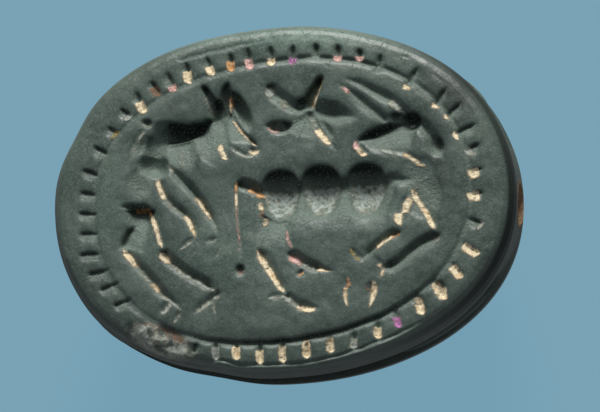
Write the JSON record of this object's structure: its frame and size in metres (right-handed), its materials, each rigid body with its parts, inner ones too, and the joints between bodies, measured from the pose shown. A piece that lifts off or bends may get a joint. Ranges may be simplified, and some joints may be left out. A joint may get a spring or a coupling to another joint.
{
  "type": "scarab seal",
  "caption": "Small carved stone seal shaped as a beetle, bored lengthwise, with a beast, a horned goat and a star cut into its oval face.",
  "frame": {"origin": "middle of the resting spot on the beetle's back, which is the bottom centre of the bounding box", "axes": "+X along the string hole towards the beetle's tail, +Y towards the top of the engraved scene, +Z out of the engraved face"},
  "size_m": [0.016, 0.0121, 0.008],
  "materials": {
    "dark_green_stone": "satin, fine-grained dark green-grey stone, worn at the edges, pale and rusty earth left in the cuts"
  },
  "bodies": {
    "root": {"scarab_seal": "dark_green_stone"}
  },
  "joints": []
}
